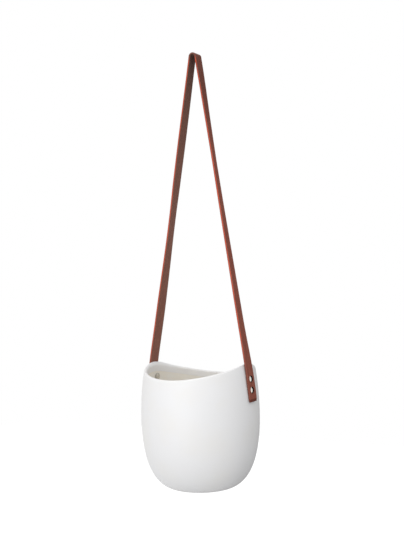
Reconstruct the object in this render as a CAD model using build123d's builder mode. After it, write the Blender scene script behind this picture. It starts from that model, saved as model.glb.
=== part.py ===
"""Hanging planter: a rounded ceramic pot with a saddle-shaped rim, hung from one leather strap.

The strap is folded over a hook at its middle. Each end lies down the outside of the pot, on
an ear of the rim, and two barrel nuts with domed heads clamp it through the wall.
The origin is the axis of the hook's seat in the fold. The strap hangs in the XZ plane, the
hook lies along Y, and +Z is up.
"""
import os
from math import acos, asin, atan2, cos, degrees, hypot, radians, sin, sqrt

from build123d import *

# Pot body, in mm, with heights above the pot's underside
pot_radius = 84.0
widest_height = 104.0
wall = 5.0
floor_thickness = 6.0
upper_wall_radius = 420.0
base_radius = 29.5
base_pull = 41.0
side_pull = 58.5

# Foot ring under the pot
foot_ring_width = 6.0
foot_recess = 1.5
foot_round = 0.7

# Saddle rim: a curve from the low middle out to the pot's full radius, ever steeper. The wall
# leans in and meets it a little sooner, where it makes the ears
rim_low_height = 157.3
rim_rise = 22.5
rim_middle_pull = 28.0  # handle of the curve at the middle, level
rim_ear_run = 13.5  # run and fall of its handle at the end
rim_ear_fall = 16.3
rim_flat = 0.4  # left between the rim's two rounded edges

# Leather strap
strap_width = 19.0
strap_thickness = 2.5
strap_edge_round = 0.6
strap_seat_gap = 0.3
strap_end_margin = 16.0

# Hook seat in the fold, and its height above the pot's underside
hook_diameter = 6.0
hook_clearance = 0.25
hang_height = 617.0

# Places of the screws: an upper and a lower one below the end of the rim's curve
upper_screw_drop = 24.3
screw_pitch = 15.0

# Barrel nut: a domed head outside the strap and a tube through the wall
dome_diameter = 9.0
dome_height = 2.0
dome_rim = 0.5
dome_seat_gap = 0.05
barrel_diameter = 5.0
barrel_wall = 0.75
barrel_shortfall = 0.6
bore_floor = 1.2
strap_hole_clearance = 0.15
wall_hole_clearance = 0.4

# Slotted screw, driven into the barrel from inside the pot
thread_clearance = 0.05
screw_tip_gap = 0.8
screw_head_diameter = 8.0
screw_head_height = 1.8
screw_head_round = 0.5
slot_width = 1.1
slot_depth = 0.9

# Soft washer between the screw's head and the glazed wall
washer_diameter = 10.0
washer_thickness = 1.0
washer_hole_clearance = 0.25
washer_seat_gap = 0.05

# Local x of this plane is the row's X, and local y is the height above the pot's underside
side_plane = Plane(origin=(0, 0, -hang_height), x_dir=(1, 0, 0), z_dir=(0, -1, 0))
wall_centre = (pot_radius - upper_wall_radius, widest_height)
mirrored_centre = (-wall_centre[0], widest_height)


def wall_angle(height):
    """Angle in degrees, about the upper wall's centre, of the wall at this height."""
    return degrees(asin((height - widest_height) / upper_wall_radius))


def screw_plane(side, height):
    """Plane on the outer wall: its origin is on the screw's axis and its z points outwards."""
    angle = radians(wall_angle(height))
    wall_x = wall_centre[0] + upper_wall_radius * cos(angle)
    return Plane(
        origin=(side * wall_x, 0, height - hang_height),
        x_dir=(0, 1, 0),
        z_dir=(side * cos(angle), 0, sin(angle)),
    )


def profile_plane(seat):
    """Plane through a screw's axis: local x is the radius and local y runs outwards."""
    return Plane(origin=seat.origin, x_dir=seat.x_dir, z_dir=seat.x_dir.cross(seat.z_dir))


rim_end_height = rim_low_height + rim_rise
upper_screw_height = rim_end_height - upper_screw_drop
lower_screw_height = upper_screw_height - screw_pitch
sides = {"left": -1, "right": 1}
screw_heights = {"lower": lower_screw_height, "upper": upper_screw_height}
screw_seats = {
    f"{side_name}_{level}": screw_plane(side, height)
    for side_name, side in sides.items()
    for level, height in screw_heights.items()
}
barrel_radius = barrel_diameter / 2

# Pot: a revolved body, its foot ring, the saddle cut with a rounded rim, and the screw holes
inner_radius = pot_radius - wall
rim_round = (wall - rim_flat) / 2
blank_height = rim_end_height + 2 * wall
blank_angle = wall_angle(blank_height)
clear_height = blank_height + wall

with BuildPart() as pot:
    with BuildSketch(side_plane):
        with BuildLine():
            Line((0, 0), (base_radius, 0))
            Bezier(
                (base_radius, 0),
                (base_radius + base_pull, 0),
                (pot_radius, widest_height - side_pull),
                (pot_radius, widest_height),
            )
            outer_wall = CenterArc(wall_centre, upper_wall_radius, 0, blank_angle)
            inner_wall = CenterArc(wall_centre, upper_wall_radius - wall, 0, blank_angle)
            Bezier(
                (base_radius, floor_thickness),
                (base_radius + base_pull, floor_thickness),
                (inner_radius, widest_height - side_pull + floor_thickness),
                (inner_radius, widest_height),
            )
            Line(outer_wall @ 1, inner_wall @ 1)
            Polyline((base_radius, floor_thickness), (0, floor_thickness), (0, 0))
        make_face()
    revolve(axis=Axis.Z)
    with BuildSketch(Plane.XY.offset(-hang_height)):
        Circle(base_radius - foot_ring_width)
    extrude(amount=foot_recess, mode=Mode.SUBTRACT)
    underside_edges = pot.edges().filter_by(GeomType.CIRCLE).group_by(Axis.Z)[0]
    fillet(underside_edges.sort_by(SortBy.RADIUS)[0], foot_round)
    with BuildSketch(side_plane):
        with BuildLine():
            right_rise = Bezier(
                (0, rim_low_height),
                (rim_middle_pull, rim_low_height),
                (pot_radius - rim_ear_run, rim_end_height - rim_ear_fall),
                (pot_radius, rim_end_height),
            )
            mirror(right_rise, about=Plane.YZ)
            Polyline(
                (pot_radius, rim_end_height),
                (pot_radius, clear_height),
                (-pot_radius, clear_height),
                (-pot_radius, rim_end_height),
            )
        make_face()
    extrude(amount=2 * pot_radius, both=True, mode=Mode.SUBTRACT)
    rim_edges = pot.faces().filter_by(GeomType.EXTRUSION).edges()
    fillet(rim_edges.filter_by(lambda edge: edge.length > 2 * wall), rim_round)
    for seat in screw_seats.values():
        with BuildSketch(seat):
            Circle(barrel_radius + wall_hole_clearance)
        extrude(amount=2 * wall, both=True, mode=Mode.SUBTRACT)
pot.part.label = "pot"

# Strap: a band swept up one wall, along the leg, over the fold, and down the other side.
# A leg is the straight line that touches both the wall's arc and the fold's arc.
fold_radius = hook_diameter / 2 + hook_clearance + strap_thickness / 2
band_radius = upper_wall_radius + strap_seat_gap + strap_thickness / 2
fold_centre = (0, hang_height)
run_x = -wall_centre[0]
run_height = hang_height - widest_height
leave_angle = degrees(
    atan2(run_height, run_x) - acos((band_radius - fold_radius) / hypot(run_x, run_height))
)
end_angle = wall_angle(lower_screw_height - strap_end_margin)
laid_angle = leave_angle - end_angle

with BuildPart() as strap:
    with BuildLine(side_plane) as strap_path:
        right_end = CenterArc(wall_centre, band_radius, end_angle, laid_angle)
        fold = CenterArc(fold_centre, fold_radius, leave_angle, 180 - 2 * leave_angle)
        left_end = CenterArc(mirrored_centre, band_radius, 180 - leave_angle, laid_angle)
        Line(right_end @ 1, fold @ 0)
        Line(fold @ 1, left_end @ 0)
    path = strap_path.wire()
    with BuildSketch(Plane(origin=path @ 0, x_dir=(0, 1, 0), z_dir=path % 0)):
        RectangleRounded(strap_width, strap_thickness, strap_edge_round)
    sweep(path=path)
    for seat in screw_seats.values():
        with BuildSketch(seat):
            Circle(barrel_radius + strap_hole_clearance)
        extrude(amount=2 * (strap_seat_gap + strap_thickness), mode=Mode.SUBTRACT)
strap.part.label = "strap"
print(f"strap length {path.length:.1f} mm, leg angle {leave_angle:.2f} degrees")

# Screw sets, with distances along each axis counted outwards from the pot's outer wall
dome_seat = strap_seat_gap + strap_thickness + dome_seat_gap
dome_radius = dome_diameter / 2
barrel_end = barrel_shortfall - wall
bore_radius = barrel_radius - barrel_wall
bore_end = dome_seat + dome_height - bore_floor
washer_radius = washer_diameter / 2
hollow_radius = inner_radius - wall
wall_sag = hollow_radius - sqrt(hollow_radius**2 - washer_radius**2)
washer_seat = -(wall + wall_sag + washer_seat_gap)
head_seat = washer_seat - washer_thickness
head_end = head_seat - screw_head_height
head_radius = screw_head_diameter / 2
shank_radius = bore_radius - thread_clearance
shank_end = bore_end - screw_tip_gap

pieces = {"pot": pot.part, "strap": strap.part}
for place, seat in screw_seats.items():
    screw_axis = Axis(seat.origin, seat.z_dir)

    with BuildPart() as barrel_nut:
        with BuildSketch(profile_plane(seat)):
            with BuildLine():
                TangentArc(
                    (0, dome_seat + dome_height), (dome_radius, dome_seat + dome_rim), tangent=(1, 0)
                )
                Polyline(
                    (dome_radius, dome_seat + dome_rim),
                    (dome_radius, dome_seat),
                    (barrel_radius, dome_seat),
                    (barrel_radius, barrel_end),
                    (bore_radius, barrel_end),
                    (bore_radius, bore_end),
                    (0, bore_end),
                    (0, dome_seat + dome_height),
                )
            make_face()
        revolve(axis=screw_axis)
    pieces[f"barrel_nut_{place}"] = barrel_nut.part

    with BuildPart() as slotted_screw:
        with BuildSketch(profile_plane(seat)):
            with BuildLine():
                Polyline(
                    (0, shank_end),
                    (shank_radius, shank_end),
                    (shank_radius, head_seat),
                    (head_radius, head_seat),
                    (head_radius, head_end),
                    (0, head_end),
                    close=True,
                )
            make_face()
        revolve(axis=screw_axis)
        head_edges = slotted_screw.edges().filter_by(GeomType.CIRCLE)
        fillet(head_edges.sort_by(screw_axis)[0], screw_head_round)
        with BuildSketch(seat.offset(head_end)):
            Rectangle(screw_head_diameter, slot_width)
        extrude(amount=slot_depth, mode=Mode.SUBTRACT)
    pieces[f"slotted_screw_{place}"] = slotted_screw.part

    with BuildPart() as soft_washer:
        with BuildSketch(seat.offset(head_seat)):
            Circle(washer_radius)
            Circle(barrel_radius + washer_hole_clearance, mode=Mode.SUBTRACT)
        extrude(amount=washer_thickness)
    pieces[f"soft_washer_{place}"] = soft_washer.part

os.makedirs("parts", exist_ok=True)
for name, piece in pieces.items():
    piece.label = name
    export_step(piece, f"parts/{name}.step")
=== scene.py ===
"""Looks of a hanging planter: a matt glazed stoneware pot with a saddle rim, hung from one strap.

The file is laid out as an add-on and is run as a script. Lengths are in metres, in the frame of
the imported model: the origin is the axis of the seat in the strap's fold, +Z is up, the strap
hangs in the XZ plane, and heights are counted from the pot's underside.
"""
import math

import bpy
import numpy as np
from mathutils import Matrix, Vector


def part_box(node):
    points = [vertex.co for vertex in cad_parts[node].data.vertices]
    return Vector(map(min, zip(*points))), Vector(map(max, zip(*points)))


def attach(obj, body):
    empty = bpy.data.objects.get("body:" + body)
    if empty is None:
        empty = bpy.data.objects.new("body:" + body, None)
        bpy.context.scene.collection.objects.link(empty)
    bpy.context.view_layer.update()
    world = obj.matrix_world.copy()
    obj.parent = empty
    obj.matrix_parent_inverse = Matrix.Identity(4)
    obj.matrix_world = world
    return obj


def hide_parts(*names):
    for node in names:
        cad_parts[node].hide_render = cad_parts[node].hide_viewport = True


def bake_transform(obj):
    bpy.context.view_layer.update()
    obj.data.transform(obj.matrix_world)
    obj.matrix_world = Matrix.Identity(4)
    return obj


bl_info = {
    "name": "Hanging planter",
    "version": (1, 0, 0),
    "blender": (4, 5, 0),
    "location": "View3D > Sidebar > Planter",
    "description": "Builds the glazed pot, the leather strap, the screw sets and the studio",
    "category": "Add Mesh",
}

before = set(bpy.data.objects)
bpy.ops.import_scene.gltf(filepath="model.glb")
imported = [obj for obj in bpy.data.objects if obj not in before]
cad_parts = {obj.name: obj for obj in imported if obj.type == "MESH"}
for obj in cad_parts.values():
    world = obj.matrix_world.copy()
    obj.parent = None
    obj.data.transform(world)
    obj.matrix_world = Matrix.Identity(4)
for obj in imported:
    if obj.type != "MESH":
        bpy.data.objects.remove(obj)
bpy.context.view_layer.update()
pot_low, pot_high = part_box("pot")
strap_low, strap_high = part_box("strap")

MILLIMETRE = 0.001
SCREW_PLACES = ("left_lower", "left_upper", "right_lower", "right_upper")

# Fineness of the meshes: columns round the pot, and rows along each stretch of its profile
POT_COLUMNS = 288
RECESS_ROWS = 7
CORNER_ROWS = 5
RING_ROWS = 5
BELLY_ROWS = 48
WALL_ROWS = 22
LIP_ROWS = 18
GLAZE_ROWS = 5
GLAZE_EDGE_ROWS = 7
CLAY_ROWS = 20
HOLLOW_ROWS = 44
FLOOR_ROWS = 9
RIM_POINTS = 400
HOLE_SIDES = 40

# Fineness of the strap: stations on the wall, along a leg and round half of the fold, points
# across a flat side and round a corner, and stations in the rounding of its two ends
ON_WALL_STATIONS = 40
LEG_STATIONS = 240
ON_FOLD_STATIONS = 26
FLAT_POINTS = 13
CORNER_POINTS = 6
END_STATIONS = 4


def srgb(code):
    """Linear colour with alpha 1 of an sRGB hex code such as "#7C4A40"."""
    values = np.array([int(code[i:i + 2], 16) for i in (1, 3, 5)]) / 255
    linear = np.where(values <= 0.04045, values / 12.92, ((values + 0.055) / 1.055) ** 2.4)
    return (*linear.tolist(), 1.0)


def length(name, description, default):
    """A length property in metres."""
    return bpy.props.FloatProperty(
        name=name, description=description, default=default, unit="LENGTH", precision=5
    )


def angle(name, description, degrees):
    """An angle property, with its default given in degrees."""
    return bpy.props.FloatProperty(
        name=name, description=description, default=math.radians(degrees), subtype="ANGLE"
    )


def number(name, description, default, unit="NONE"):
    """A plain number property, or one in the unit of a lamp's power or of a lens."""
    return bpy.props.FloatProperty(
        name=name, description=description, default=default, unit=unit, precision=3
    )


def colour(name, description, code):
    """A colour property, with its default given as an sRGB hex code."""
    return bpy.props.FloatVectorProperty(
        name=name, description=description, default=srgb(code), size=4, subtype="COLOR",
        min=0.0, max=1.0,
    )


class PlanterPotSettings(bpy.types.PropertyGroup):
    """Sizes and colours of the pot."""

    radius: length("Radius", "Largest outer radius of the pot", pot_high.x)
    underside: length("Underside", "Height of the foot ring in the model's frame", pot_low.z)
    rim_low: length("Low rim", "Height of the rim at the front and back", 0.1573)
    rim_rise: length("Rim rise", "Rise of the rim's curve out to the full radius", 0.0225)
    middle_pull: length("Middle pull", "Level handle of the rim's curve at the middle", 0.028)
    ear_run: length("Ear run", "Run of the rim curve's handle at the ear", 0.0135)
    ear_fall: length("Ear fall", "Fall of the rim curve's handle at the ear", 0.0163)
    rim_turn: angle("Rim turn", "Turn of the saddle rim about the vertical", 2.0)
    ear_lift: length("Ear lift", "Rise of the ears' tips above the rim's curve", 0.0036)
    ear_start: length("Ear start", "Distance from the middle where the ears start to lift", 0.069)
    ear_tip: length("Ear tip", "Distance from the middle to the ears' tips", 0.078)
    widest: length("Widest height", "Height at which the pot is widest", 0.104)
    wall: length("Wall", "Thickness of the wall", 0.005)
    floor: length("Floor", "Thickness of the floor", 0.006)
    upper_radius: length("Upper wall radius", "Radius of the upper wall's arc", 0.420)
    base_radius: length("Base radius", "Outer radius of the foot ring", 0.0295)
    base_pull: length("Base pull", "Length of the belly curve's handle at the base", 0.041)
    side_pull: length("Side pull", "Length of the belly curve's handle at the widest point", 0.0585)
    ring_width: length("Foot ring width", "Width of the foot ring", 0.006)
    recess: length("Recess", "Depth of the recess inside the foot ring", 0.0015)
    lip: length("Lip", "Height of the rounded lip above the straight wall", 0.0023)
    glaze_reach: length("Glaze reach", "Width of the glazed band inside the rim", 0.0102)
    glaze_depth: length("Glaze depth", "Thickness of the glaze at its inner edge", 0.0003)
    glaze: colour("Glaze", "Matt white glaze", "#F0F0F1")
    clay: colour("Clay", "Bare stoneware clay", "#F3EEE4")


class PlanterStrapSettings(bpy.types.PropertyGroup):
    """Sizes and colours of the strap."""

    width: length("Width", "Width of the strap", strap_high.y - strap_low.y)
    thickness: length("Thickness", "Thickness of the leather", 0.0025)
    edge_round: length("Edge round", "Radius of the strap's rounded edges", 0.0006)
    seat_gap: length("Seat gap", "Gap between the strap and the pot's wall", 0.0003)
    tail_height: length("Tail height", "Height of the strap's lower ends on the wall", 0.1245)
    seat_radius: length("Seat radius", "Radius inside the fold", 0.00325)
    fold_yaw: angle("Fold yaw", "Turn of the fold about the vertical", 7.0)
    fold_tilt: angle("Fold tilt", "Upward tilt of the fold towards its back end", 5.0)
    grain: colour("Grain", "Grain side of the leather", "#965244")
    flesh: colour("Flesh", "Flesh side of the leather", "#8A5443")
    edge_paint: colour("Edge paint", "Painted cut edges", "#CB4A26")
    # Towards both ends the edge colour darkens to brown over these lengths.
    dark_end: length("Dark end", "Length at each end whose edge is fully dark brown", 0.045)
    darker_end: length("Darker end", "Length at each end over which the edge darkens to brown", 0.075)


class PlanterScrewSettings(bpy.types.PropertyGroup):
    """Holes for the screw sets and colours of their pieces."""

    barrel: length("Barrel", "Diameter of the barrel nuts' tubes", 0.005)
    wall_gap: length("Gap in the wall", "Gap round a barrel in the pot's wall", 0.0004)
    strap_gap: length("Gap in the strap", "Gap round a barrel in the strap", 0.00015)
    nickel: colour("Nickel", "Polished nickel plate", "#DAD6CE")
    washer: colour("Washer", "Soft washer", "#C9C5BD")


class PlanterStageSettings(bpy.types.PropertyGroup):
    """Camera, lamps and floor."""

    azimuth: angle("Azimuth", "Direction from which the camera looks", 33.47)
    distance: length("Distance", "Level distance from the plumb line to the camera", 1.216)
    height: length("Height", "Height of the camera above the pot's underside", 0.2538)
    yaw: angle("Yaw", "Turn of the camera away from the plumb line", -0.262)
    pitch: angle("Pitch", "Upward tilt of the camera", 2.565)
    roll: angle("Roll", "Roll of the camera", -0.978)
    floor_drop: length("Floor drop", "Height of the pot's underside above the floor", 1.3)
    lens: number("Lens", "Focal length for a frame 36 mm high", 56.67, "CAMERA")
    floor_colour: colour("Floor", "Plain pale floor", "#CFCFCF")
    floor_glow: number("Floor glow", "Light that lifts the floor to white where it is seen", 0.75)
    ambient: number("Ambient", "Strength of the white surroundings as a light", 0.665)
    key_power: number("Key lamp", "Power of the lamp at the left", 10.2, "POWER")
    high_power: number("High lamp", "Power of the lamp above the camera", 4.6, "POWER")
    fill_power: number("Fill lamp", "Power of the lamp at the upper right", 4.0, "POWER")


def mesh_object(name, vertices, faces, materials, face_material, uv=None):
    """Smooth-shaded mesh object at the origin, with a material number for each face."""
    mesh = bpy.data.meshes.new(name)
    mesh.from_pydata(vertices, [], faces)
    for material in materials:
        mesh.materials.append(material)
    mesh.polygons.foreach_set("material_index", face_material)
    if uv is not None:
        layer = mesh.uv_layers.new(name="leather")
        layer.data.foreach_set("uv", uv.ravel())
    mesh.shade_smooth()
    piece = bpy.data.objects.new(name, mesh)
    bpy.context.scene.collection.objects.link(piece)
    return piece


def tube_faces(rows, columns):
    """Faces of a closed tube: vertex 0 and the last one are the ends' middles.

    Each ring is counter-clockwise about the way the rows run, so all faces point outwards. The
    order is the first fan, then the quads row by row, then the last fan.
    """
    here = np.arange(columns)
    after = np.roll(here, -1)
    ring = 1 + columns * np.arange(rows)[:, None]
    low, high = ring[:-1], ring[1:]
    quads = np.stack([low + here, low + after, high + after, high + here], axis=-1)
    last = 1 + rows * columns
    first_fan = np.stack([0 * here, 1 + after, 1 + here], axis=-1)
    last_fan = np.stack([ring[-1] + here, ring[-1] + after, 0 * here + last], axis=-1)
    return first_fan.tolist() + quads.reshape(-1, 4).tolist() + last_fan.tolist()


def bezier(points, steps):
    """Cubic curve through its first and last points, pulled towards the middle two."""
    t = np.linspace(0, 1, steps)[:, None]
    a, b, c, d = np.array(points, float)
    return a * (1 - t) ** 3 + 3 * b * t * (1 - t) ** 2 + 3 * c * t ** 2 * (1 - t) + d * t ** 3


def add_node(tree, kind, inputs, **settings):
    """Adds a shader node, with its own settings and with a value or a link for each input."""
    node = tree.nodes.new("ShaderNode" + kind)
    for name, value in settings.items():
        setattr(node, name, value)
    for socket, value in inputs.items():
        if isinstance(value, bpy.types.NodeSocket):
            tree.links.new(value, node.inputs[socket])
        else:
            node.inputs[socket].default_value = value
    return node


def new_material(name, base_colour):
    """Empty material with one Principled shader, and the shader, for its own nodes."""
    material = bpy.data.materials.new(name)
    material.use_nodes = True
    material.diffuse_color = base_colour
    tree = material.node_tree
    tree.nodes.clear()
    shader = add_node(tree, "BsdfPrincipled", {"Base Color": base_colour})
    add_node(tree, "OutputMaterial", {"Surface": shader.outputs[0]})
    return material, tree, shader


def blended(tree, factor, first, second):
    """Colour that goes from first to second with factor."""
    return add_node(
        tree, "Mix", {0: factor, 6: first, 7: second}, data_type="RGBA"
    ).outputs[2]


def spread(tree, value, low, high, to_low, to_high):
    """Value stretched from low..high to to_low..to_high, and held at both ends."""
    return add_node(
        tree, "MapRange", {0: value, 1: low, 2: high, 3: to_low, 4: to_high}
    ).outputs[0]


def grain_noise(tree, coordinates, size_mm, detail=2.0, stretch=(1, 1, 1)):
    """Noise whose grains are size_mm across, drawn out along each axis by stretch."""
    scaled = add_node(
        tree, "Mapping", {"Vector": coordinates, "Scale": [1 / s for s in stretch]}
    ).outputs[0]
    scale = 1 / (size_mm * MILLIMETRE)
    return add_node(
        tree, "TexNoise", {"Vector": scaled, "Scale": scale, "Detail": detail}
    ).outputs[0]


def bumped(tree, shader, height, depth_mm, strength=1.0, normal=None):
    """Bump of a depth in millimetres on the shader's normal."""
    inputs = {"Strength": strength, "Distance": depth_mm * MILLIMETRE, "Height": height}
    if normal is not None:
        inputs["Normal"] = normal
    result = add_node(tree, "Bump", inputs).outputs["Normal"]
    tree.links.new(result, shader.inputs["Normal"])
    return result


def matt_stoneware_glaze(settings):
    """Matt white glaze fired on slip-cast stoneware: dense and even, with a soft broad shine.

    The eye sees a nearly flat white, a faint orange-peel from the melt and a slightly warmer tone
    where the glaze is a little thinner.
    """
    material, tree, shader = new_material("matt_stoneware_glaze", settings.glaze)
    coordinates = add_node(tree, "TexCoord", {}).outputs["Object"]
    cloud = grain_noise(tree, coordinates, size_mm=45.0)
    warm = srgb("#EFEDE9")
    tone = blended(tree, spread(tree, cloud, 0.4, 0.7, 0.0, 0.5), tuple(settings.glaze), warm)
    tree.links.new(tone, shader.inputs["Base Color"])
    melt = grain_noise(tree, coordinates, size_mm=6.0)
    tree.links.new(spread(tree, melt, 0.3, 0.7, 0.46, 0.54), shader.inputs["Roughness"])
    shader.inputs["IOR"].default_value = 1.5
    peel = bumped(tree, shader, melt, depth_mm=0.02)
    fine = grain_noise(tree, coordinates, size_mm=0.8)
    bumped(tree, shader, fine, depth_mm=0.004, normal=peel)
    return material


def bare_clay(settings):
    """Unglazed stoneware after firing: dry, beige and finely gritty, with a few iron specks."""
    material, tree, shader = new_material("bare_stoneware_clay", settings.clay)
    coordinates = add_node(tree, "TexCoord", {}).outputs["Object"]
    stain = grain_noise(tree, coordinates, size_mm=18.0, detail=4.0)
    pale = srgb("#F5F2EB")
    body = blended(tree, spread(tree, stain, 0.35, 0.65, 0.0, 1.0), tuple(settings.clay), pale)
    speck = grain_noise(tree, coordinates, size_mm=1.2)
    iron = srgb("#C9BCA8")
    tone = blended(tree, spread(tree, speck, 0.74, 0.8, 0.0, 0.6), body, iron)
    tree.links.new(tone, shader.inputs["Base Color"])
    shader.inputs["Roughness"].default_value = 0.92
    grit = grain_noise(tree, coordinates, size_mm=0.5, detail=4.0)
    bumped(tree, shader, grit, depth_mm=0.06)
    return material


def off_fold(tree, along, strap_length):
    """Distance along the strap from the middle of its fold, in metres."""
    place = add_node(tree, "SeparateXYZ", {"Vector": along}).outputs[0]
    middle = strap_length / 2
    signed = add_node(tree, "Math", {0: place, 1: middle}, operation="SUBTRACT").outputs[0]
    return add_node(tree, "Math", {0: signed}, operation="ABSOLUTE").outputs[0]


def vegetable_tanned_grain(settings, strap_length):
    """Grain side of vegetable-tanned strap leather, dyed red-brown and lightly waxed.

    The eye sees lengthwise streaks from the dye and the fibres, fine pores and a satin shine. The
    pores are drawn at twice their real size, so that they show. Painted shade darkens the fold.
    """
    material, tree, shader = new_material("vegetable_tanned_grain", settings.grain)
    along = add_node(tree, "UVMap", {}, uv_map="leather").outputs[0]
    streak = grain_noise(tree, along, size_mm=2.2, detail=3.0, stretch=(14, 1, 1))
    patch = grain_noise(tree, along, size_mm=25.0, detail=3.0, stretch=(2.5, 1, 1))
    dark = srgb("#7C3F30")
    light = srgb("#AA6955")
    streaked = blended(tree, spread(tree, streak, 0.3, 0.7, 0.0, 1.0), dark, light)
    tone = blended(tree, spread(tree, patch, 0.3, 0.7, 0.25, 0.75), streaked, tuple(settings.grain))
    pore_spacing = 0.9 * MILLIMETRE
    pores = add_node(
        tree, "TexVoronoi", {"Vector": along, "Scale": 1 / pore_spacing},
        feature="DISTANCE_TO_EDGE",
    ).outputs[0]
    creases = spread(tree, pores, 0.0, 0.12, 0.0, 1.0)
    pore_shade = srgb("#4A241C")
    shaded = blended(tree, spread(tree, pores, 0.0, 0.1, 0.35, 0.0), tone, pore_shade)
    # Painted shade: the grain side is darkened towards the fold.
    painted_fold_shade = spread(tree, off_fold(tree, along, strap_length), 0.05, 0.16, 0.9, 0.0)
    fold_shade_colour = srgb("#6A3B2E")
    tree.links.new(blended(tree, painted_fold_shade, shaded, fold_shade_colour), shader.inputs["Base Color"])
    shader.inputs["IOR"].default_value = 1.45
    shader.inputs["Specular IOR Level"].default_value = 0.35
    tree.links.new(spread(tree, streak, 0.3, 0.7, 0.6, 0.5), shader.inputs["Roughness"])
    pebble = bumped(tree, shader, creases, depth_mm=0.035)
    bumped(tree, shader, streak, depth_mm=0.06, normal=pebble)
    return material


def napped_flesh(settings, strap_length):
    """Flesh side of the leather, sanded: fibrous, dull and darkened by painted shade towards the
    fold.
    """
    material, tree, shader = new_material("napped_flesh_side", settings.flesh)
    along = add_node(tree, "UVMap", {}, uv_map="leather").outputs[0]
    fibre = grain_noise(tree, along, size_mm=0.7, detail=4.0, stretch=(4, 1, 1))
    patch = grain_noise(tree, along, size_mm=12.0, detail=3.0, stretch=(2, 1, 1))
    dark = srgb("#6A4231")
    tone = blended(tree, spread(tree, fibre, 0.3, 0.7, 0.6, 0.0), tuple(settings.flesh), dark)
    pale = srgb("#8E5C4A")
    varied_tone = blended(tree, spread(tree, patch, 0.4, 0.7, 0.0, 0.4), tone, pale)
    # Painted shade: the flesh side is darker towards the fold.
    painted_fold_shade = spread(tree, off_fold(tree, along, strap_length), 0.02, 0.26, 0.9, 0.0)
    fold_shade_colour = srgb("#6B4333")
    tree.links.new(blended(tree, painted_fold_shade, varied_tone, fold_shade_colour), shader.inputs["Base Color"])
    shader.inputs["Roughness"].default_value = 0.9
    shader.inputs["Sheen Weight"].default_value = 0.12
    shader.inputs["Sheen Roughness"].default_value = 0.5
    bumped(tree, shader, fibre, depth_mm=0.08)
    return material


def edge_paint(settings, strap_length):
    """Acrylic edge paint over the burnished cut edge: smooth, satin and orange-red.

    It turns a darker brown towards the ends that lie on the pot, and painted shade darkens it round
    the tight fold.
    """
    material, tree, shader = new_material("orange_edge_paint", settings.edge_paint)
    along = add_node(tree, "UVMap", {}, uv_map="leather").outputs[0]
    wobble = grain_noise(tree, along, size_mm=3.0, detail=2.0, stretch=(3, 1, 1))
    deep = srgb("#A23C26")
    tone = blended(tree, spread(tree, wobble, 0.35, 0.7, 0.0, 0.7), tuple(settings.edge_paint), deep)
    # The edge darkens to brown towards both ends; round the fold it is darkened by painted shade.
    distance = off_fold(tree, along, strap_length)
    end = strap_length / 2
    painted, dark_from = end - settings.darker_end, end - settings.dark_end
    darker_end = spread(tree, distance, painted, dark_from, 0.0, 1.0)
    # Painted shade round the fold's crown.
    fold_edge_shade = spread(tree, distance, 0.006, 0.014, 1.0, 0.0)
    dark_ends_and_fold_shade = add_node(tree, "Math", {0: darker_end, 1: fold_edge_shade}, operation="MAXIMUM").outputs[0]
    # Dark brown for the ends, and painted shade round the fold.
    dark_brown_and_shade = srgb("#6F3A2C")
    varied_tone = blended(tree, dark_ends_and_fold_shade, tone, dark_brown_and_shade)
    tree.links.new(varied_tone, shader.inputs["Base Color"])
    shader.inputs["Roughness"].default_value = 0.5
    shader.inputs["Specular IOR Level"].default_value = 0.35
    bumped(tree, shader, wobble, depth_mm=0.05)
    return material


def polished_nickel(settings, name, roughness):
    """Bright nickel plate on brass, buffed: a mirror with hairline polishing marks."""
    material, tree, shader = new_material(name, settings.nickel)
    coordinates = add_node(tree, "TexCoord", {}).outputs["Object"]
    marks = grain_noise(tree, coordinates, size_mm=0.35, detail=3.0, stretch=(1, 6, 1))
    shader.inputs["Metallic"].default_value = 1.0
    tree.links.new(
        spread(tree, marks, 0.3, 0.7, roughness, 1.6 * roughness), shader.inputs["Roughness"]
    )
    dull = srgb("#B9B4AA")
    tone = blended(tree, spread(tree, marks, 0.55, 0.8, 0.0, 0.5), tuple(settings.nickel), dull)
    tree.links.new(tone, shader.inputs["Base Color"])
    bumped(tree, shader, marks, depth_mm=0.003)
    return material


def soft_rubber(settings):
    """Moulded pale silicone rubber: dull, with a fine matt texture from the mould."""
    material, tree, shader = new_material("soft_washer_rubber", settings.washer)
    coordinates = add_node(tree, "TexCoord", {}).outputs["Object"]
    texture = grain_noise(tree, coordinates, size_mm=0.25)
    dust = srgb("#BDB9B1")
    tone = blended(tree, spread(tree, texture, 0.4, 0.7, 0.0, 0.5), tuple(settings.washer), dust)
    tree.links.new(tone, shader.inputs["Base Color"])
    shader.inputs["Roughness"].default_value = 0.7
    bumped(tree, shader, texture, depth_mm=0.01)
    return material


def rim_height(pot, x):
    """Height of the saddle rim at x: a cubic curve, level at the middle and steep at the ears.

    The ears' tips stand a little above it, by the square of how far x is past the ears' start.
    """
    end = pot.rim_low + pot.rim_rise
    curve = bezier(
        [
            (0, pot.rim_low),
            (pot.middle_pull, pot.rim_low),
            (pot.radius - pot.ear_run, end - pot.ear_fall),
            (pot.radius, end),
        ],
        RIM_POINTS,
    )
    past = np.clip((np.abs(x) - pot.ear_start) / (pot.ear_tip - pot.ear_start), 0, None)
    return np.interp(np.abs(x), curve[:, 0], curve[:, 1]) + pot.ear_lift * past ** 2


def upper_wall(pot, height, inset):
    """Radius of the upper wall at a height, inset from its outside: an arc that bulges outwards."""
    arc = pot.upper_radius - inset
    return pot.radius - pot.upper_radius + np.sqrt(arc ** 2 - (height - pot.widest) ** 2)


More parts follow.
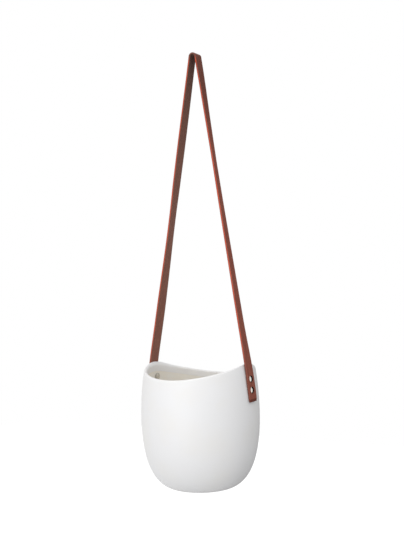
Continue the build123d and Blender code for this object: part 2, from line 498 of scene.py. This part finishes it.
def lip_edge(pot, cosine, inset):
    """Radius and height, for each column, where a straight wall turns into the rounded lip.

    The height is that of the saddle at the same x, less the lip's height. The radius depends on
    the height and the height on the radius, so both are settled in a few passes.
    """
    radius = np.full_like(cosine, pot.radius - inset)
    passes = 6
    for _ in range(passes):
        height = rim_height(pot, radius * cosine) - pot.lip
        radius = upper_wall(pot, height, inset)
    return radius, height


def wall_tangent(pot, height, inset):
    """Upward direction (radial, vertical) along the upper wall at a height."""
    sine = (height - pot.widest) / (pot.upper_radius - inset)
    return -sine, np.sqrt(1 - sine ** 2)


def pot_profile(pot, cosine):
    """Rows of (radius, height) for each column, from under the floor, over the rim, to inside.

    The belly is a cubic curve, the upper wall an arc up to the lip, and the lip one cubic curve
    whose ends run on from both walls. Inside, the glaze ends in a small step on the bare clay.
    """
    columns = len(cosine)

    def rows(radius, height):
        """The same row for every column."""
        shape = (len(radius), columns)
        return (
            np.broadcast_to(np.reshape(radius, (-1, 1)), shape),
            np.broadcast_to(np.reshape(height, (-1, 1)), shape),
        )

    ring_inside = pot.base_radius - pot.ring_width
    corner = pot.recess / 3
    turn = np.linspace(0, math.pi / 2, CORNER_ROWS)
    recess = rows(
        np.linspace(ring_inside / (RECESS_ROWS + 1), ring_inside - corner, RECESS_ROWS),
        np.full(RECESS_ROWS, pot.recess),
    )
    cove = rows(
        ring_inside - corner + corner * np.sin(turn[1:]),
        pot.recess - corner + corner * np.cos(turn[1:]),
    )
    foot_round = rows(
        ring_inside + corner - corner * np.cos(turn), corner - corner * np.sin(turn)
    )
    ring = rows(
        np.linspace(ring_inside + 2 * corner, pot.base_radius, RING_ROWS), np.zeros(RING_ROWS)
    )
    belly_curve = bezier(
        [
            (pot.base_radius, 0),
            (pot.base_radius + pot.base_pull, 0),
            (pot.radius, pot.widest - pot.side_pull),
            (pot.radius, pot.widest),
        ],
        BELLY_ROWS,
    )
    belly = rows(belly_curve[1:, 0], belly_curve[1:, 1])

    outer_radius, outer_height = lip_edge(pot, cosine, 0.0)
    rise = np.linspace(0, 1, WALL_ROWS)[1:, None]
    wall_height = pot.widest + rise * (outer_height - pot.widest)
    outer_wall = upper_wall(pot, wall_height, 0.0), wall_height

    inner_radius, inner_height = lip_edge(pot, cosine, pot.wall)
    pull = pot.lip * 4 / 3
    outer_lean, outer_rise = wall_tangent(pot, outer_height, 0.0)
    inner_lean, inner_rise = wall_tangent(pot, inner_height, pot.wall)
    t = np.linspace(0, 1, LIP_ROWS)[1:-1, None]
    weights = ((1 - t) ** 3, 3 * t * (1 - t) ** 2, 3 * t ** 2 * (1 - t), t ** 3)
    lip_radii = (
        outer_radius,
        outer_radius + pull * outer_lean,
        inner_radius + pull * inner_lean,
        inner_radius,
    )
    lip_heights = (
        outer_height,
        outer_height + pull * outer_rise,
        inner_height + pull * inner_rise,
        inner_height,
    )
    lip = (
        sum(w * r for w, r in zip(weights, lip_radii)),
        sum(w * h for w, h in zip(weights, lip_heights)),
    )

    step = np.linspace(0, 1, GLAZE_EDGE_ROWS)
    band = pot.glaze_reach - pot.lip
    full_share, edge_share = 0.85, 0.14
    full = np.linspace(0, full_share, GLAZE_ROWS)
    thinning = 1 - edge_share + edge_share * step
    depth = np.concatenate([full, thinning])[:, None] * band
    easing = step ** 2 * (3 - 2 * step)
    loss = np.concatenate([np.zeros(GLAZE_ROWS), easing])[:, None] * pot.glaze_depth
    band_height = inner_height - depth
    glazed_band = upper_wall(pot, band_height, pot.wall) + loss, band_height

    fall = np.linspace(0, 1, CLAY_ROWS)[1:, None]
    band_foot = inner_height - band
    clay_height = band_foot + fall * (pot.widest - band_foot)
    clay_wall = upper_wall(pot, clay_height, pot.wall) + pot.glaze_depth, clay_height
    inside = pot.radius - pot.wall + pot.glaze_depth
    ground = pot.floor - pot.glaze_depth
    hollow_curve = bezier(
        [
            (inside, pot.widest),
            (inside, pot.widest - pot.side_pull + pot.floor),
            (pot.base_radius + pot.base_pull, ground),
            (pot.base_radius, ground),
        ],
        HOLLOW_ROWS,
    )
    hollow = rows(hollow_curve[1:, 0], hollow_curve[1:, 1])
    floor_radius = np.linspace(pot.base_radius, pot.base_radius / FLOOR_ROWS, FLOOR_ROWS)[1:]
    floor = rows(floor_radius, np.full(len(floor_radius), ground))

    parts = {
        "underside": [recess, cove],
        "foot": [foot_round, ring],
        "glazed": [belly, outer_wall, lip, glazed_band],
        "clay": [clay_wall, hollow, floor],
    }
    counts = {name: sum(len(r) for r, _ in group) for name, group in parts.items()}
    together = [piece for group in parts.values() for piece in group]
    radius = np.concatenate([r for r, _ in together])
    height = np.concatenate([h for _, h in together])
    return radius, height, counts


def screw_axis(pot, place):
    """Centre of a screw set and the direction of its axis, which is square to the outer wall."""
    low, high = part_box(f"barrel_nut_{place}")
    centre = (low + high) / 2
    sine = (centre.z - pot.underside - pot.widest) / pot.upper_radius
    side = math.copysign(1.0, centre.x)
    return centre, Vector((side * math.sqrt(1 - sine ** 2), 0, sine))


def screw_rod(pot, place, radius):
    """Points and faces of a round rod along a screw's axis, well longer than the wall is thick."""
    reach = 4 * pot.wall
    centre, axis = (np.array(v) for v in screw_axis(pot, place))
    across = np.array((0.0, 1.0, 0.0))
    up = np.cross(axis, across)
    turns = np.linspace(0, 2 * math.pi, HOLE_SIDES, endpoint=False)
    ring = radius * (np.outer(np.cos(turns), across) + np.outer(np.sin(turns), up))
    ends = centre + reach * np.array([[-1.0], [1.0]]) * axis
    rings = ends[:, None] + ring
    points = [ends[0].tolist(), *rings.reshape(-1, 3).tolist(), ends[1].tolist()]
    return points, tube_faces(2, HOLE_SIDES)


def drill(piece, pot, diameter):
    """Cuts the four screw holes: the piece less a round rod along each screw's axis."""
    vertices, faces = [], []
    for place in SCREW_PLACES:
        points, rod_faces = screw_rod(pot, place, diameter / 2)
        faces += [[len(vertices) + i for i in face] for face in rod_faces]
        vertices += points
    cutter = mesh_object("rod", vertices, faces, [], [0] * len(faces))
    cut = piece.modifiers.new("holes", "BOOLEAN")
    cut.operation = "DIFFERENCE"
    cut.solver = "EXACT"
    cut.object = cutter
    evaluated = piece.evaluated_get(bpy.context.evaluated_depsgraph_get())
    drilled = bpy.data.meshes.new_from_object(evaluated)
    whole = piece.data
    piece.modifiers.clear()
    piece.data = drilled
    drilled.name = piece.name
    bpy.data.meshes.remove(whole)
    bpy.data.objects.remove(cutter)


def strap_line(pot, strap):
    """Centre line of the strap in the XZ plane, from the right tail to the left one.

    Each half is an arc beside the wall, the straight line that touches that arc and the fold's
    arc, and a quarter of the fold. Returns x, z and the angle of the outward normal.
    """
    middle = strap.thickness / 2
    band = pot.upper_radius + strap.seat_gap + middle
    fold = strap.seat_radius + middle
    centre_x = pot.radius - pot.upper_radius
    centre_z = pot.underside + pot.widest
    reach = math.hypot(centre_x, centre_z)
    leave = math.atan2(-centre_z, -centre_x) - math.acos((band - fold) / reach)
    tail = math.asin((strap.tail_height - pot.widest) / pot.upper_radius)

    on_wall = np.linspace(tail, leave, ON_WALL_STATIONS)
    on_fold = np.linspace(leave, math.pi / 2, ON_FOLD_STATIONS)
    leg = np.linspace(0, 1, LEG_STATIONS)[1:-1]
    start = np.array([centre_x + band * math.cos(leave), centre_z + band * math.sin(leave)])
    end = fold * np.array([math.cos(leave), math.sin(leave)])
    x = np.concatenate([
        centre_x + band * np.cos(on_wall),
        start[0] + leg * (end[0] - start[0]),
        fold * np.cos(on_fold),
    ])
    z = np.concatenate([
        centre_z + band * np.sin(on_wall),
        start[1] + leg * (end[1] - start[1]),
        fold * np.sin(on_fold),
    ])
    normal = np.concatenate([on_wall, np.full(len(leg), leave), on_fold])
    return (
        np.concatenate([x, -x[-2::-1]]),
        np.concatenate([z, z[-2::-1]]),
        np.concatenate([normal, math.pi - normal[-2::-1]]),
    )


def leg_turn(pot, strap, x, z):
    """Turn of the strap's width about the vertical, by height on each leg, in radians.

    The legs leave the pot nearly square to the strap's plane and reach the fold at its yaw. Both
    twist a little more on the way, as a soft strap does.
    """
    height = z - pot.underside
    fold = math.degrees(strap.fold_yaw)
    right = np.interp(
        height, [0.15, 0.22, 0.26, 0.36, 0.46, 0.53, 0.60], [0, 9, 10, 14.5, 18, 14, fold]
    )
    left = np.interp(
        height, [0.26, 0.36, 0.40, 0.43, 0.50, 0.60], [0, 11, 11, 6.5, 4, fold]
    )
    return smoothed(np.radians(np.where(x > 0, right, left)))


def smoothed(values):
    """Values along the strap with their corners rounded off, by a bell-shaped moving mean."""
    reach = 15
    window = np.hanning(2 * reach + 1)
    padded = np.pad(values, reach, mode="edge")
    return np.convolve(padded, window / window.sum(), mode="valid")


def leg_sway(pot, x, z):
    """Sideways offset of the strap along Y, in metres, by height, with tables in millimetres.

    The legs bow a little and one end lies askew.
    """
    height = z - pot.underside
    right = np.interp(
        height,
        [0.1245, 0.1405, 0.1555, 0.182, 0.23, 0.40, 0.47, 0.53, 0.575],
        [2.6, 1.1, 0.3, 0.4, -0.9, -0.9, -0.3, 0.4, 1.3],
    )
    left = np.interp(
        height, [0.14, 0.1555, 0.178, 0.24, 0.33, 0.45, 0.56], [0, -1.0, -2.8, -0.9, 0.2, 0.3, 1.1]
    )
    return smoothed(np.where(x > 0, right, left) * MILLIMETRE)


def strap_section(strap):
    """Outline of the strap's section: (outward, across) pairs, rounded at the four corners.

    The order is counter-clockwise about the strap's run: the grain side, the edge towards +Y, the
    flesh side and the other edge. Also returns each step's finish: 0 grain, 1 flesh, 2 edge.
    """
    half = strap.width / 2
    middle = strap.thickness / 2
    r = strap.edge_round
    turn = np.linspace(0, math.pi / 2, CORNER_POINTS)
    flat = np.linspace(-half + r, half - r, FLAT_POINTS)
    corner = np.stack([middle - r + r * np.cos(turn), half - r + r * np.sin(turn)], axis=1)
    grain = np.stack([np.full(FLAT_POINTS, middle), flat], axis=1)
    right_edge = np.concatenate([corner[1:], corner[::-1][:-1] * [-1, 1]])
    flesh = -grain
    left_edge = -right_edge
    outline = np.concatenate([grain, right_edge, flesh, left_edge])
    edge_count = len(right_edge) + 1
    rounding = len(turn) - 1
    edge = [0] * rounding + [2] * (edge_count - 2 * rounding) + [1] * rounding
    side_steps = FLAT_POINTS - 1
    finish = [0] * side_steps + edge + [1] * side_steps + edge[::-1]
    return outline, np.array(finish)


class PLANTER_OT_pot(bpy.types.Operator):
    """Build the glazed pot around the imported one."""

    bl_idname = "planter.build_pot"
    bl_label = "Build pot"

    def execute(self, context):
        pot, screws = context.scene.planter_pot, context.scene.planter_screws
        around = np.linspace(0, 2 * math.pi, POT_COLUMNS, endpoint=False)
        cosine, sine = np.cos(around), np.sin(around)
        radius, height, counts = pot_profile(pot, np.cos(around - pot.rim_turn))
        points = np.stack([radius * cosine, radius * sine, height + pot.underside], axis=-1)
        middles = [(0, 0, pot.underside + pot.recess), (0, 0, height[-1, 0] + pot.underside)]
        rows = len(points)
        vertices = [middles[0], *points.reshape(-1, 3).tolist(), middles[1]]
        foot = counts["underside"]
        glazed = foot + counts["foot"]
        clay = glazed + counts["glazed"]
        row_material = np.zeros(rows + 1, int)
        row_material[foot:glazed] = 1
        row_material[clay:] = 1
        piece = mesh_object(
            "glazed_pot",
            vertices,
            tube_faces(rows, POT_COLUMNS),
            [matt_stoneware_glaze(pot), bare_clay(pot)],
            np.repeat(row_material, POT_COLUMNS),
        )
        drill(piece, pot, screws.barrel + 2 * screws.wall_gap)
        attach(piece, "pot")
        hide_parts("pot")
        return {"FINISHED"}


class PLANTER_OT_strap(bpy.types.Operator):
    """Build the leather strap, twisted as it hangs."""

    bl_idname = "planter.build_strap"
    bl_label = "Build strap"

    def execute(self, context):
        pot, strap = context.scene.planter_pot, context.scene.planter_strap
        screws = context.scene.planter_screws
        x, z, normal = strap_line(pot, strap)
        yaw = leg_turn(pot, strap, x, z)
        # The fold's turn and tilt fade down the legs by powers of the share of the height. The
        # width is then squared to the run, by taking out of it what points along the run.
        lift = np.clip((z - z.min()) / (z.max() - z.min()), 0, 1)
        fold_half = strap.seat_radius + strap.thickness / 2
        turned = np.clip(x / fold_half, -1, 1) * fold_half * math.sin(strap.fold_yaw) * lift ** 4
        line = np.stack([x, turned + leg_sway(pot, x, z), z], axis=1)
        run = np.gradient(line, axis=0)
        run /= np.linalg.norm(run, axis=1, keepdims=True)
        tilt = math.tan(strap.fold_tilt) * lift ** 8
        across = np.stack([-np.sin(yaw), np.cos(yaw), tilt], axis=1)
        across -= np.sum(across * run, axis=1, keepdims=True) * run
        across /= np.linalg.norm(across, axis=1, keepdims=True)
        outward = np.cross(across, run)

        section, section_finish = strap_section(strap)
        rounding = np.linspace(0, math.pi / 2, END_STATIONS + 1)[:-1]
        inset = strap.edge_round * (1 - np.sin(rounding))
        stations = len(line)
        shrink = np.zeros(stations)
        shrink[:END_STATIONS] = inset
        shrink[-END_STATIONS:] = inset[::-1]
        size = 1 - shrink[:, None, None] / np.array([strap.thickness / 2, strap.width / 2])
        placed = section * size
        points = (
            line[:, None]
            + outward[:, None] * placed[..., :1]
            + across[:, None] * placed[..., 1:]
        )
        columns = len(section)
        vertices = [line[0].tolist(), *points.reshape(-1, 3).tolist(), line[-1].tolist()]
        faces = tube_faces(stations, columns)
        row_finish = np.tile(section_finish, (stations + 1, 1))
        row_finish[:END_STATIONS] = 2
        row_finish[-END_STATIONS:] = 2
        distance = np.concatenate([[0], np.cumsum(np.linalg.norm(np.diff(line, axis=0), axis=1))])
        gaps = np.linalg.norm(np.roll(section, -1, axis=0) - section, axis=1)
        girth = np.concatenate([[0], np.cumsum(gaps)])
        quads = np.zeros((stations - 1, columns, 4, 2))
        quads[..., 0, 0] = quads[..., 1, 0] = distance[:-1, None]
        quads[..., 2, 0] = quads[..., 3, 0] = distance[1:, None]
        quads[..., 0, 1] = quads[..., 3, 1] = girth[:-1]
        quads[..., 1, 1] = quads[..., 2, 1] = girth[1:]
        fan = np.zeros((columns, 3, 2))
        fan[..., 1] = girth[:-1, None]
        uv = np.concatenate([fan.reshape(-1, 2), quads.reshape(-1, 2), fan.reshape(-1, 2)])
        leather_finishes = (vegetable_tanned_grain, napped_flesh, edge_paint)
        piece = mesh_object(
            "leather_strap",
            vertices,
            faces,
            [make(strap, distance[-1]) for make in leather_finishes],
            row_finish.ravel(),
            uv,
        )
        drill(piece, pot, screws.barrel + 2 * screws.strap_gap)
        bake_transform(piece)
        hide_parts("strap")
        return {"FINISHED"}


class PLANTER_OT_screws(bpy.types.Operator):
    """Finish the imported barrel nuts, screws and washers."""

    bl_idname = "planter.finish_screws"
    bl_label = "Finish screw sets"

    def execute(self, context):
        screws = context.scene.planter_screws
        finishes = {
            "barrel_nut": polished_nickel(screws, "polished_nickel_dome", 0.07),
            "slotted_screw": polished_nickel(screws, "nickel_plated_screw", 0.22),
            "soft_washer": soft_rubber(screws),
        }
        for kind, material in finishes.items():
            for place in SCREW_PLACES:
                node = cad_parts[f"{kind}_{place}"]
                node.material_slots[0].material = material
        return {"FINISHED"}


def white_where_seen(tree, base, seen):
    """Shader that is seen by camera, glossy and see-through rays, and base for the others."""
    path = add_node(tree, "LightPath", {})
    glossy = add_node(
        tree, "Math", {0: path.outputs["Is Camera Ray"], 1: path.outputs["Is Glossy Ray"]},
        operation="MAXIMUM",
    ).outputs[0]
    direct = add_node(
        tree, "Math", {0: glossy, 1: path.outputs["Is Transmission Ray"]}, operation="MAXIMUM"
    ).outputs[0]
    return add_node(tree, "MixShader", {0: direct, 1: base, 2: seen}).outputs[0]


def studio_floor(stage):
    """Plain pale floor that keeps its shadows and is lifted to white where it is looked at."""
    material = bpy.data.materials.new("studio_floor")
    material.use_nodes = True
    tree = material.node_tree
    tree.nodes.clear()
    paper = add_node(tree, "BsdfDiffuse", {"Color": stage.floor_colour}).outputs[0]
    glow = add_node(
        tree, "Emission", {"Color": (1, 1, 1, 1), "Strength": stage.floor_glow}
    ).outputs[0]
    lifted = add_node(tree, "AddShader", {0: paper, 1: glow}).outputs[0]
    surface = white_where_seen(tree, paper, lifted)
    add_node(tree, "OutputMaterial", {"Surface": surface})
    return material


def studio_world(ambient):
    """White surroundings, at full white to the eye and dimmer as a light."""
    world = bpy.data.worlds.new("studio")
    world.use_nodes = True
    tree = world.node_tree
    tree.nodes.clear()
    dim = add_node(tree, "Background", {"Color": (1, 1, 1, 1), "Strength": ambient}).outputs[0]
    white = add_node(tree, "Background", {"Color": (1, 1, 1, 1), "Strength": 1.0}).outputs[0]
    surface = white_where_seen(tree, dim, white)
    add_node(tree, "OutputWorld", {"Surface": surface})
    return world


def dark_card(heading, distance, low, high, half_width):
    """Upright dark card beside the planter, which only shiny surfaces find in their reflections."""
    out = Vector((math.cos(heading), math.sin(heading), 0))
    across = Vector((-out.y, out.x, 0))
    corners = [
        out * distance + across * half_width * side + Vector((0, 0, height))
        for side, height in ((-1, low), (1, low), (1, high), (-1, high))
    ]
    material = bpy.data.materials.new("dark_card")
    material.use_nodes = True
    tree = material.node_tree
    tree.nodes.clear()
    paper = add_node(tree, "BsdfDiffuse", {"Color": srgb("#1C1B1A")}).outputs[0]
    add_node(tree, "OutputMaterial", {"Surface": paper})
    card = mesh_object("dark_card", [tuple(c) for c in corners], [(0, 1, 2, 3)], [material], [0])
    card.visible_camera = False
    card.visible_diffuse = False
    card.visible_shadow = False


def softbox(name, place, target, size, power):
    """Square area lamp of a size in metres, aimed from its place at a target."""
    lamp = bpy.data.lights.new(name, "AREA")
    lamp.shape = "SQUARE"
    lamp.size = size
    lamp.energy = power
    holder = bpy.data.objects.new(name, lamp)
    bpy.context.scene.collection.objects.link(holder)
    holder.location = place
    holder.rotation_mode = "QUATERNION"
    holder.rotation_quaternion = (target - place).to_track_quat("-Z", "Y")
    return holder


def add_camera(stage, underside):
    """Camera at the photograph's place, with its frame 36 mm high on the long side."""
    lens = bpy.data.cameras.new("photo_view")
    lens.sensor_fit = "AUTO"
    lens.sensor_width = 36.0
    lens.lens = stage.lens
    camera = bpy.data.objects.new("photo_view", lens)
    bpy.context.scene.collection.objects.link(camera)
    back = Vector((math.sin(stage.azimuth), -math.cos(stage.azimuth), 0))
    turn = (
        Matrix.Rotation(stage.azimuth + stage.yaw, 4, "Z")
        @ Matrix.Rotation(math.pi / 2 + stage.pitch, 4, "X")
        @ Matrix.Rotation(stage.roll, 4, "Z")
    )
    place = back * stage.distance + Vector((0, 0, underside + stage.height))
    camera.matrix_world = Matrix.Translation(place) @ turn
    bpy.context.scene.camera = camera


class PLANTER_OT_stage(bpy.types.Operator):
    """Set up the floor, the lamps, the surroundings and the camera."""

    bl_idname = "planter.set_stage"
    bl_label = "Set stage"

    def execute(self, context):
        stage, pot = context.scene.planter_stage, context.scene.planter_pot
        add_camera(stage, pot.underside)
        ground = pot.underside - stage.floor_drop
        reach = 8.0
        corners = [(-reach, -reach), (reach, -reach), (reach, reach), (-reach, reach)]
        floor = mesh_object(
            "floor", [(x, y, ground) for x, y in corners], [(0, 1, 2, 3)],
            [studio_floor(stage)], [0],
        )

        context.scene.world = studio_world(stage.ambient)
        card_heading, card_distance, card_half_width = math.radians(82), 0.9, 1.15
        card_low, card_high = ground + 0.01, pot.underside + 1.2
        dark_card(card_heading, card_distance, card_low, card_high, card_half_width)

        # The lamps stand in metres from the widest height, to the left and front as seen
        target = Vector((0, 0, pot.underside + pot.widest))
        side = stage.azimuth
        left = Vector((-math.cos(side), -math.sin(side), 0))
        front = Vector((math.sin(side), -math.cos(side), 0))
        up = Vector((0, 0, 1))
        key_place = target + 0.95 * left + 1.3 * front + 0.15 * up
        high_place = target + 0.8 * front + 1.7 * up
        fill_place = target - 0.5 * left + 0.9 * front + 1.5 * up
        softbox("key", key_place, target, size=1.2, power=stage.key_power)
        softbox("high", high_place, target, size=1.4, power=stage.high_power)
        softbox("fill", fill_place, target, size=1.0, power=stage.fill_power)
        context.scene.view_settings.view_transform = "Standard"
        return {"FINISHED"}


class PLANTER_PT_panel(bpy.types.Panel):
    """Sizes, colours and builders of the planter."""

    bl_label = "Hanging planter"
    bl_idname = "PLANTER_PT_panel"
    bl_space_type = "VIEW_3D"
    bl_region_type = "UI"
    bl_category = "Planter"

    def draw(self, context):
        for group, builder in BUILDERS:
            box = self.layout.box()
            settings = getattr(context.scene, group)
            for name in settings.__annotations__:
                box.prop(settings, name)
            box.operator(builder.bl_idname)


SETTINGS = {
    "planter_pot": PlanterPotSettings,
    "planter_strap": PlanterStrapSettings,
    "planter_screws": PlanterScrewSettings,
    "planter_stage": PlanterStageSettings,
}
BUILDERS = (
    ("planter_pot", PLANTER_OT_pot),
    ("planter_strap", PLANTER_OT_strap),
    ("planter_screws", PLANTER_OT_screws),
    ("planter_stage", PLANTER_OT_stage),
)
CLASSES = (*SETTINGS.values(), *(builder for _, builder in BUILDERS), PLANTER_PT_panel)


def register():
    """Adds the settings, the builders and the panel to Blender."""
    for item in CLASSES:
        bpy.utils.register_class(item)
    for name, group in SETTINGS.items():
        setattr(bpy.types.Scene, name, bpy.props.PointerProperty(type=group))


def unregister():
    """Takes them out again."""
    for name in SETTINGS:
        delattr(bpy.types.Scene, name)
    for item in reversed(CLASSES):
        bpy.utils.unregister_class(item)


def main():
    """Builds the planter and its studio."""
    register()
    bpy.ops.planter.build_pot()
    bpy.ops.planter.build_strap()
    bpy.ops.planter.finish_screws()
    bpy.ops.planter.set_stage()


if __name__ == "__main__":
    main()
